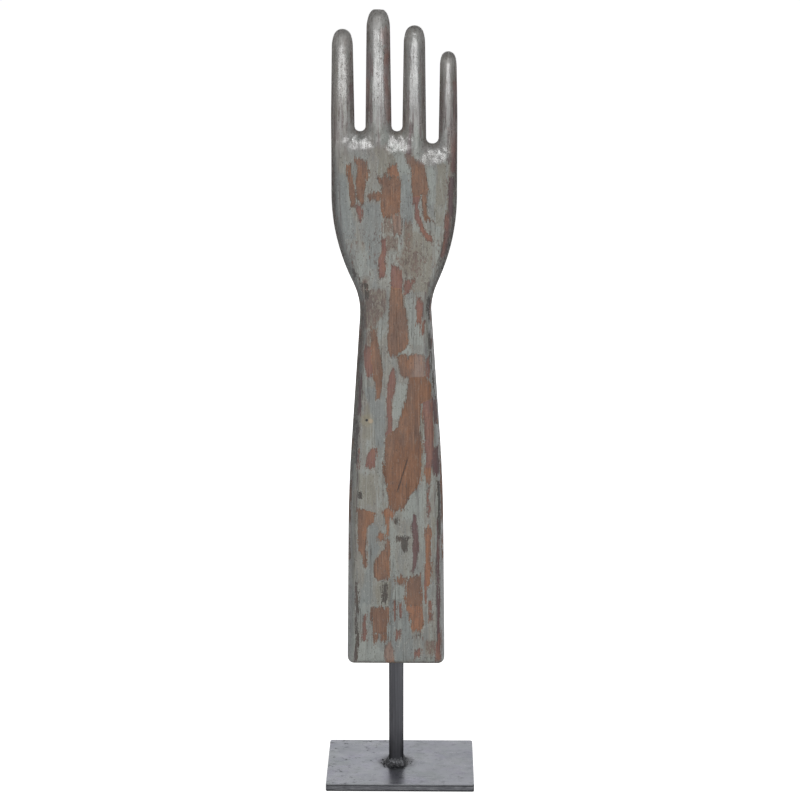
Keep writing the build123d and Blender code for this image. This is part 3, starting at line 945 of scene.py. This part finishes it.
# Weld: an uneven hand-laid bead with spatter
def bead_ring(work, phases, turns=160, rings=16):
    """Overlapping weld ripples round the foot of the bar, closed under the bar and the plate."""
    upward = Vector((0, 0, 1))
    rows = []
    for turn in range(turns):
        angle = 2 * math.pi * turn / turns
        direction = Vector((math.cos(angle), math.sin(angle), 0))
        start = min(POST_HALF / max(abs(direction.x), abs(direction.y)), 6.4) - 0.25
        ripple = 0.35 * abs(math.sin(8.5 * angle + phases[0]))
        leg = 3.5 + 0.6 * math.sin(2 * angle + phases[1]) + 0.5 * math.sin(5 * angle + phases[2]) + ripple
        rise = 6.2 + 0.7 * math.sin(3 * angle + phases[3]) + 0.5 * math.sin(7 * angle + phases[4]) + ripple
        row = []
        for ring in range(rings):
            share = ring / (rings - 1)
            turned = share * math.pi / 2
            out = leg * (1 - math.sin(turned)) ** 0.82 - 0.5 * (share == 1)
            up = rise * (1 - math.cos(turned)) ** 0.82 - 0.4 * (share == 0)
            spot = direction * (start + out) + upward * up
            lump = noise.fractal(spot / 1.7, 1.0, 2.0, 3) * 0.6 + noise.noise(spot / 0.8) * 0.22
            lump *= math.sin(math.pi * min(max(share, 0.04), 0.96))
            spot += (direction + upward).normalized() * lump
            row.append(work.verts.new((spot.x + POST_X, spot.y, spot.z + PLATE_TOP)))
        rows.append(row)
    for near, far in zip(rows, rows[1:] + rows[:1]):
        for ring in range(rings - 1):
            work.faces.new((near[ring], far[ring], far[ring + 1], near[ring + 1]))
    work.faces.new([row[0] for row in reversed(rows)])
    work.faces.new([row[-1] for row in rows])


def spatter(work, rng, count=46):
    """Small drops of steel strewn round the bead."""
    for _ in range(count):
        angle = rng.uniform(0, 2 * math.pi)
        away = rng.choice([rng.uniform(7.5, 9.5), rng.uniform(8.5, 11.5)])
        radius = rng.uniform(0.25, 0.75)
        middle = Vector((POST_X + away * math.cos(angle), away * math.sin(angle), PLATE_TOP + 0.25 * radius))
        for vertex in bmesh.ops.create_icosphere(work, subdivisions=2, radius=radius)["verts"]:
            vertex.co *= 1 + 0.25 * noise.noise(vertex.co * 2 + Vector((angle, away, 0)))
            vertex.co.z *= 0.7
            vertex.co += middle


def bead_mesh(name):
    rng = np.random.default_rng(3)
    work = bmesh.new()
    bead_ring(work, phases=rng.uniform(0, 6.28, 6))
    spatter(work, rng)
    bmesh.ops.scale(work, vec=(MM, MM, MM), verts=work.verts)
    bmesh.ops.recalc_face_normals(work, faces=work.faces)
    mesh = bpy.data.meshes.new(name)
    work.to_mesh(mesh)
    work.free()
    smooth(mesh)
    return mesh


weld = linked("weld_ripples", bead_mesh("weld_ripples"))
look = Material("weld_steel")
slag = look.noise((2.2, 2.2, 2.2), 5, 0.7, (3, 1, 2))
look.set("Base Color", look.ramp(slag, [
    (0.3, (44, 44, 46)),
    (0.5, (76, 77, 80)),
    (0.68, (112, 113, 116)),
    (0.8, (70, 64, 62)),
]))
look.set("Metallic", 0.7)
look.set("Roughness", look.step(slag, 0.3, 0.7, 0.5, 0.34))
look.set("Normal", look.relief((look.noise((0.7, 0.7, 0.7), 4, 0.7, (5, 5, 2)), 0.3, 0.7)))
look.dress(weld)
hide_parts("weld_bead")
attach(weld, "stand")

# Camera, fitted to the photograph
camera = linked("Camera", bpy.data.cameras.new("Camera"))
camera.data.sensor_width = 36.0
camera.data.lens = 101.16
camera.location = (0.0189, -1.459, 0.662)
camera.rotation_euler = [math.radians(angle) for angle in (74.90, 0.02, 0.75)]
scene.camera = camera


# Floor and world: white to the camera; for gloss, white behind and under the object and darker at the sides
def light_path_mix(tree, camera_value, gloss_value, other_value):
    """A strength that differs for what is seen, what is mirrored and what only lights the object."""
    path = tree.nodes.new("ShaderNodeLightPath").outputs
    mirrored = tree.math("MAXIMUM", path["Is Glossy Ray"], path["Is Transmission Ray"])
    unseen = tree.between(mirrored, other_value, gloss_value)
    return tree.between(path["Is Camera Ray"], unseen, camera_value)


FLOOR_HALF = 15
floor_corners = [(sx * FLOOR_HALF, sy * FLOOR_HALF, 0) for sx, sy in ((-1, -1), (1, -1), (1, 1), (-1, 1))]
floor = linked("Floor", bpy.data.meshes.new("Floor"))
floor.data.from_pydata(floor_corners, [], [(0, 1, 2, 3)])
look = Material("pale_floor")
glow_side = look.step(look.size(look.axes(look.place)["X"]), 0.3, 0.9, 0.5, 0.1)
look.set("Base Color", (0.8, 0.8, 0.8, 1))
look.set("Roughness", 0.9)
look.set("Specular IOR Level", 0.0)
look.set("Emission Color", (1, 1, 1, 1))
look.set("Emission Strength", light_path_mix(look, 0.94, glow_side, 0.0))
look.dress(floor)

scene.world = bpy.data.worlds.new("World")
scene.world.use_nodes = True
sky = Tree(scene.world.node_tree)
backdrop = sky.nodes["Background"]
direction = sky.axes(sky.nodes.new("ShaderNodeTexCoord").outputs["Generated"])
sky_behind = sky.step(direction["Y"], 0.2, 0.75, 0.25, 1.0)
sky.put(backdrop.inputs["Color"], (1, 1, 1, 1))
sky.put(backdrop.inputs["Strength"], light_path_mix(sky, 1.0, sky_behind, 0.1))
scene.view_settings.view_transform = "Standard"


# Lamps
def area_light(name, place, target, width, height, power, mirrored=True):
    lamp = linked(name, bpy.data.lights.new(name, "AREA"))
    lamp.data.shape = "RECTANGLE"
    lamp.data.size = width
    lamp.data.size_y = height
    lamp.data.energy = power
    lamp.location = place
    lamp.rotation_euler = (Vector(target) - Vector(place)).to_track_quat("-Z", "Y").to_euler()
    lamp.visible_camera = False
    lamp.visible_glossy = mirrored


area_light("Key", (-0.05, -1.5, 1.22), (0, 0, 0.42), 1.2, 0.3, 8.2)
area_light("Front", (-0.03, -1.38, 0.24), (0, 0, 0.36), 1.58, 0.45, 10.5)
area_light("Back", (0.55, 1.45, 0.85), (0, 0, 0.38), 1.2, 0.8, 14, mirrored=False)
